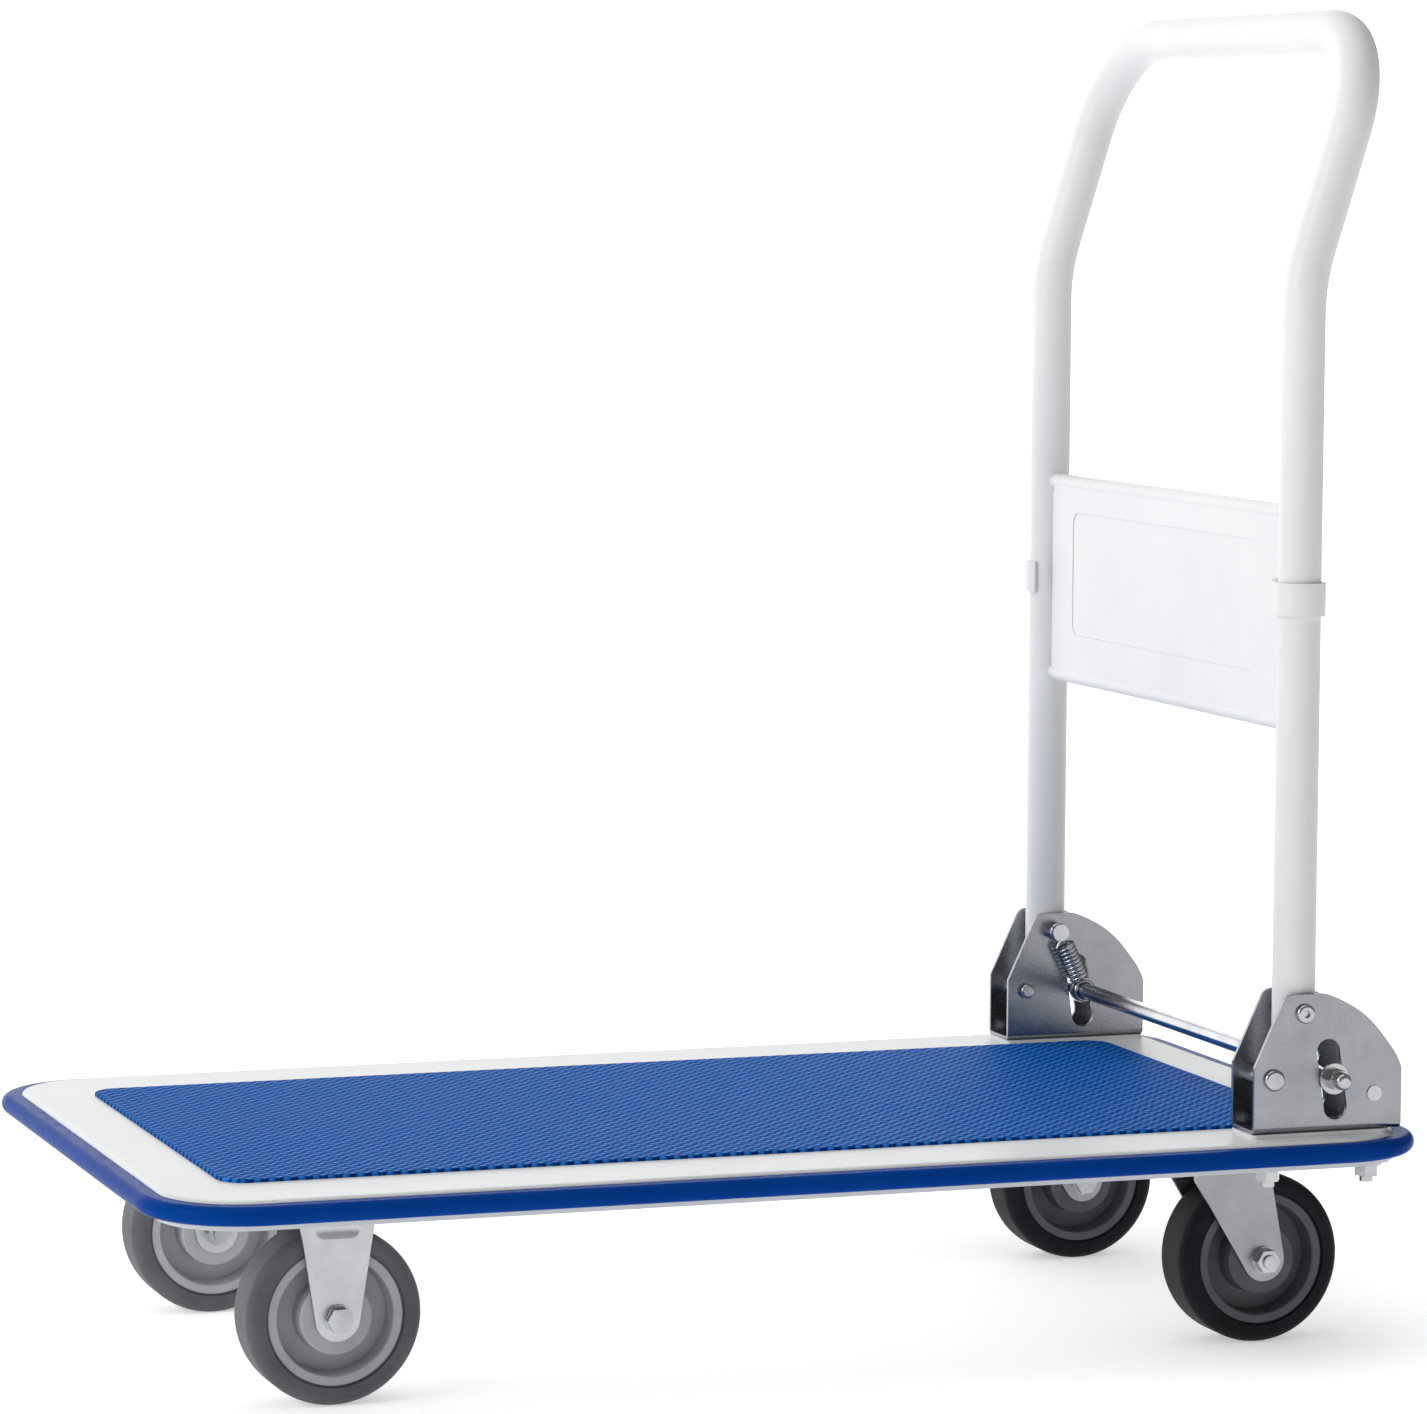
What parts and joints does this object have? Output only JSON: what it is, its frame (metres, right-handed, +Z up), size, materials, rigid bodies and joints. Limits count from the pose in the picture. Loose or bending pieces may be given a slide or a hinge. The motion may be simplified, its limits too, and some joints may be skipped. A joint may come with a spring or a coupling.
{
  "type": "folding platform cart",
  "caption": "Flat-deck trolley with a blue anti-slip mat, edge bumper, castors and a tube handle that folds down over the deck when the foot bar is pressed.",
  "frame": {"origin": "middle of the platform, on the floor under it", "axes": "+X towards the handle end along the deck, +Y across the deck, +Z up"},
  "size_m": [0.772, 0.464, 0.7897],
  "materials": {
    "white_paint": "white powder coat, smooth and semi-gloss",
    "mat": "blue anti-slip sheet with a fine raised grain",
    "bumper": "glossy blue soft vinyl",
    "zinc_sheet": "zinc-plated pressed steel, satin",
    "zinc_hardware": "zinc-plated fasteners, slightly brighter",
    "rod_steel": "plated round bar, satin",
    "spring_steel": "plated spring wire",
    "tyre": "solid rubber, matte, lightly dusty",
    "wheel_plastic": "moulded grey plastic",
    "bush_plastic": "dark moulded bearing sleeve"
  },
  "bodies": {
    "platform": {"anti_slip_mat": "mat", "castor_bolts": "zinc_hardware", "castor_nuts": "zinc_hardware", "deck_channel_fixed_end": "white_paint", "deck_channel_handle_end": "white_paint", "deck_channel_middle": "white_paint", "deck_plate": "white_paint", "edge_bumper": "bumper", "fixed_axle_bolt_far": "zinc_hardware", "fixed_axle_bolt_near": "zinc_hardware", "fixed_axle_nut_far": "zinc_hardware", "fixed_axle_nut_near": "zinc_hardware", "fixed_bracket_far": "zinc_sheet", "fixed_bracket_near": "zinc_sheet", "hinge_bolt_spacers": "zinc_hardware", "hinge_bracket_bolts": "zinc_hardware", "hinge_bracket_far": "zinc_sheet", "hinge_bracket_near": "zinc_sheet", "hinge_bracket_nuts": "zinc_hardware", "king_pin_far": "zinc_hardware", "king_pin_near": "zinc_hardware", "lock_spring_far": "spring_steel", "lock_spring_near": "spring_steel", "pivot_pin_far": "zinc_hardware", "pivot_pin_near": "zinc_hardware", "spacer_rivets": "zinc_hardware", "stop_pin_far": "zinc_hardware", "stop_pin_near": "zinc_hardware", "swivel_plate_far": "zinc_sheet", "swivel_plate_near": "zinc_sheet"},
    "handle": {"handle_tube": "white_paint", "leg_plugs": "bush_plastic", "pivot_bush_near": "bush_plastic", "pivot_bush_far": "bush_plastic", "handle_panel": "white_paint", "band_clamp_near": "white_paint", "band_clamp_far": "white_paint"},
    "lock_rod": {"lock_rod": "rod_steel", "lock_rod_washers": "zinc_hardware", "lock_rod_nuts": "zinc_hardware"},
    "swivel_near": {"swivel_fork_near": "zinc_sheet", "ball_ring_near": "zinc_sheet", "swivel_axle_bolt_near": "zinc_hardware", "swivel_axle_nut_near": "zinc_hardware"},
    "fixed_wheel_near": {"fixed_tyre_near": "tyre", "fixed_rim_near": "wheel_plastic", "fixed_bush_near": "bush_plastic"},
    "swivel_wheel_near": {"swivel_tyre_near": "tyre", "swivel_rim_near": "wheel_plastic", "swivel_bush_near": "bush_plastic"},
    "swivel_far": {"swivel_fork_far": "zinc_sheet", "ball_ring_far": "zinc_sheet", "swivel_axle_bolt_far": "zinc_hardware", "swivel_axle_nut_far": "zinc_hardware"},
    "fixed_wheel_far": {"fixed_tyre_far": "tyre", "fixed_rim_far": "wheel_plastic", "fixed_bush_far": "bush_plastic"},
    "swivel_wheel_far": {"swivel_tyre_far": "tyre", "swivel_rim_far": "wheel_plastic", "swivel_bush_far": "bush_plastic"}
  },
  "joints": [
    {"name": "handle_fold", "type": "hinge", "parent": "platform", "child": "handle", "pos_m": [0.3045, 0, 0.205], "axis": [0, -1, 0], "range_deg": [0, 90]},
    {"name": "lock_rod_slide", "type": "slide", "parent": "platform", "child": "lock_rod", "axis": [0.1498, 0, -0.9887], "range_m": [0, 0.0146], "stiffness_N_per_m": 2200, "springref_m": -0.012, "deforming": ["lock_spring_near", "lock_spring_far"]},
    {"name": "castor_swivel_near", "type": "hinge", "parent": "platform", "child": "swivel_near", "pos_m": [0.281, -0.137, 0.105], "axis": [0, 0, 1], "continuous": true},
    {"name": "swivel_wheel_spin_near", "type": "hinge", "parent": "swivel_near", "child": "swivel_wheel_near", "pos_m": [0.302, -0.137, 0.051], "axis": [0, 1, 0], "continuous": true},
    {"name": "fixed_wheel_spin_near", "type": "hinge", "parent": "platform", "child": "fixed_wheel_near", "pos_m": [-0.2675, -0.137, 0.051], "axis": [0, 1, 0], "continuous": true},
    {"name": "castor_swivel_far", "type": "hinge", "parent": "platform", "child": "swivel_far", "pos_m": [0.281, 0.137, 0.105], "axis": [0, 0, 1], "continuous": true},
    {"name": "swivel_wheel_spin_far", "type": "hinge", "parent": "swivel_far", "child": "swivel_wheel_far", "pos_m": [0.302, 0.137, 0.051], "axis": [0, 1, 0], "continuous": true},
    {"name": "fixed_wheel_spin_far", "type": "hinge", "parent": "platform", "child": "fixed_wheel_far", "pos_m": [-0.2675, 0.137, 0.051], "axis": [0, 1, 0], "continuous": true}
  ]
}
